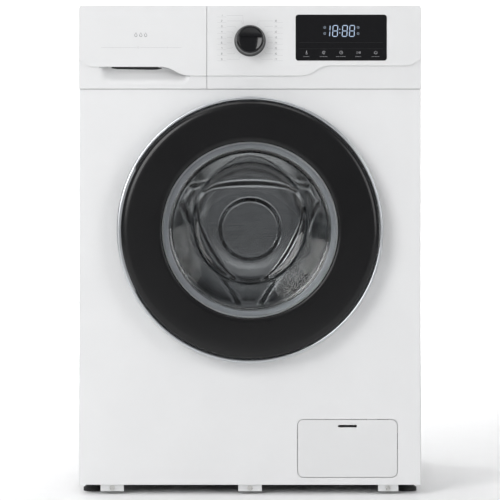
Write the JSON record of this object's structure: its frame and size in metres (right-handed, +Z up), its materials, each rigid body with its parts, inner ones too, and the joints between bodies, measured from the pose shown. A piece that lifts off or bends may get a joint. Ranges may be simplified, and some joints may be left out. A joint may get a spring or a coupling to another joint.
{
  "type": "front load washing machine",
  "caption": "White front-loading washing machine with a round black door, glass bowl, black dial and display, detergent drawer, filter flap and levelling feet.",
  "frame": {"origin": "bottom centre of the whole machine, on the floor under the feet, with the door and rear fittings counted in the depth", "axes": "+Z up, +Y towards the wall behind the machine (the door faces -Y), +X to the right of a person facing the door"},
  "size_m": [0.595, 0.578, 0.85],
  "materials": {
    "black_gloss": "polished",
    "black_plastic": "matte",
    "black_rubber": "matte",
    "black_satin": "satin",
    "blue_plastic": "satin",
    "cast_alloy": "matte",
    "circuit_board": "satin",
    "clear_glass": "clear",
    "concrete": "matte",
    "galvanised": "satin",
    "grey_hose": "matte",
    "grey_plastic": "satin",
    "grey_rubber": "matte",
    "lifter_plastic": "satin",
    "motor_alloy": "satin",
    "motor_steel": "satin",
    "silver_trim": "satin",
    "stainless": "polished",
    "tub_plastic": "matte",
    "white_plastic": "satin",
    "white_steel": "satin",
    "zinc": "satin"
  },
  "bodies": {
    "cabinet": {"base_frame": "white_plastic", "cabinet_screws": "zinc", "control_fascia": "white_plastic", "control_module": "grey_plastic", "dispenser_housing": "grey_plastic", "display_board": "circuit_board", "display_lens": "black_gloss", "door_hinge_bracket": "zinc", "door_lock": "black_plastic", "door_seal": "grey_rubber", "drain_hose": "grey_hose", "drain_outlet": "grey_plastic", "fill_hose": "black_rubber", "foot_lock_nuts": "zinc", "front_panel": "white_steel", "inlet_hose": "black_rubber", "inlet_valve": "white_plastic", "left_side_panel": "white_steel", "mains_gland": "black_plastic", "pump_housing": "grey_plastic", "pump_motor": "motor_steel", "rear_service_cover": "galvanised", "rear_wall": "galvanised", "right_side_panel": "white_steel", "sump_hose": "black_rubber", "suspension_springs": "zinc", "top_cover": "white_plastic", "transit_caps": "grey_plastic"},
    "door": {"door_inner_frame": "grey_plastic", "door_front_ring": "black_satin", "door_trim_ring": "silver_trim", "door_glass": "clear_glass", "door_hinge_arm": "zinc", "door_screws": "zinc"},
    "latch_hook": {"door_hook": "zinc"},
    "drawer": {"drawer_front": "white_plastic", "drawer_tray": "grey_plastic", "siphon_cap": "blue_plastic"},
    "release_tab": {"drawer_release_tab": "blue_plastic"},
    "knob": {"programme_knob": "black_gloss"},
    "flap": {"filter_flap": "white_plastic"},
    "filter": {"pump_filter": "grey_plastic"},
    "tub": {"tub_front": "tub_plastic", "tub_rear": "tub_plastic", "counterweights": "concrete", "motor_body": "motor_alloy", "drive_belt": "black_rubber"},
    "drum": {"drum_shell": "stainless", "drum_lifters": "lifter_plastic", "drum_spider": "cast_alloy", "drum_pulley": "cast_alloy"},
    "rotor": {"motor_pulley": "zinc"},
    "damper_left": {"damper_left_cylinder": "black_plastic"},
    "damper_left_piston": {"damper_left_rod": "grey_plastic"},
    "damper_right": {"damper_right_cylinder": "black_plastic"},
    "damper_right_piston": {"damper_right_rod": "grey_plastic"},
    "foot_fl": {"foot_front_left": "black_rubber"},
    "foot_fr": {"foot_front_right": "black_rubber"},
    "foot_rl": {"foot_rear_left": "black_rubber"},
    "foot_rr": {"foot_rear_right": "black_rubber"}
  },
  "joints": [
    {"name": "door_swing", "type": "hinge", "parent": "cabinet", "child": "door", "pos_m": [0.222, -0.271, 0.46], "axis": [0, 0, 1], "range_deg": [0, 130]},
    {"name": "latch_catch", "type": "hinge", "parent": "door", "child": "latch_hook", "pos_m": [-0.184, -0.265, 0.46], "axis": [0, 0, 1], "range_deg": [-7, 0], "stiffness_Nm_per_rad": 0.4},
    {"name": "drawer_slide", "type": "slide", "parent": "cabinet", "child": "drawer", "axis": [0, -1, 0], "range_m": [0, 0.25]},
    {"name": "release_press", "type": "slide", "parent": "drawer", "child": "release_tab", "axis": [0, 0, -1], "range_m": [0, 0.004], "stiffness_N_per_m": 300},
    {"name": "knob_turn", "type": "hinge", "parent": "cabinet", "child": "knob", "pos_m": [0, -0.251, 0.788], "axis": [0, -1, 0], "continuous": true},
    {"name": "flap_open", "type": "hinge", "parent": "cabinet", "child": "flap", "pos_m": [0.1694, -0.247, 0.0453], "axis": [1, 0, 0], "range_deg": [0, 90]},
    {"name": "filter_turn", "type": "hinge", "parent": "cabinet", "child": "filter", "pos_m": [0.1694, -0.221, 0.08], "axis": [0, -1, 0], "range_deg": [0, 120]},
    {"name": "tub_bounce", "type": "slide", "parent": "cabinet", "child": "tub", "axis": [0, 0, 1], "range_m": [-0.01, 0.01], "stiffness_N_per_m": 12000, "springref_m": 0.026, "deforming": ["door_seal", "sump_hose", "fill_hose", "suspension_springs"]},
    {"name": "drum_spin", "type": "hinge", "parent": "tub", "child": "drum", "pos_m": [0, 0, 0.46], "axis": [0, 1, 0], "continuous": true},
    {"name": "motor_spin", "type": "hinge", "parent": "tub", "child": "rotor", "pos_m": [0.095, 0.15, 0.125], "axis": [0, 1, 0], "continuous": true},
    {"name": "damper_left_tilt", "type": "hinge", "parent": "cabinet", "child": "damper_left", "pos_m": [-0.215, 0, 0.062], "axis": [0, 1, 0], "range_deg": [-1.2, 1.2]},
    {"name": "damper_left_stroke", "type": "slide", "parent": "damper_left", "child": "damper_left_piston", "axis": [0.2822, 0, 0.9594], "range_m": [-0.012, 0.012]},
    {"name": "damper_right_tilt", "type": "hinge", "parent": "cabinet", "child": "damper_right", "pos_m": [0.215, 0, 0.062], "axis": [0, 1, 0], "range_deg": [-1.2, 1.2]},
    {"name": "damper_right_stroke", "type": "slide", "parent": "damper_right", "child": "damper_right_piston", "axis": [-0.2822, 0, 0.9594], "range_m": [-0.012, 0.012]},
    {"name": "foot_fl_level", "type": "slide", "parent": "cabinet", "child": "foot_fl", "axis": [0, 0, -1], "range_m": [0, 0.012]},
    {"name": "foot_fr_level", "type": "slide", "parent": "cabinet", "child": "foot_fr", "axis": [0, 0, -1], "range_m": [0, 0.012]},
    {"name": "foot_rl_level", "type": "slide", "parent": "cabinet", "child": "foot_rl", "axis": [0, 0, -1], "range_m": [0, 0.012]},
    {"name": "foot_rr_level", "type": "slide", "parent": "cabinet", "child": "foot_rr", "axis": [0, 0, -1], "range_m": [0, 0.012]}
  ],
  "couplings": [
    {"joint": "motor_spin", "follows": "drum_spin", "ratio": 12.727},
    {"joint": "damper_left_tilt", "follows": "tub_bounce", "rad_per_m": -1.5924},
    {"joint": "damper_left_stroke", "follows": "tub_bounce", "ratio": 0.95937},
    {"joint": "damper_right_tilt", "follows": "tub_bounce", "rad_per_m": 1.5924},
    {"joint": "damper_right_stroke", "follows": "tub_bounce", "ratio": 0.95937}
  ]
}
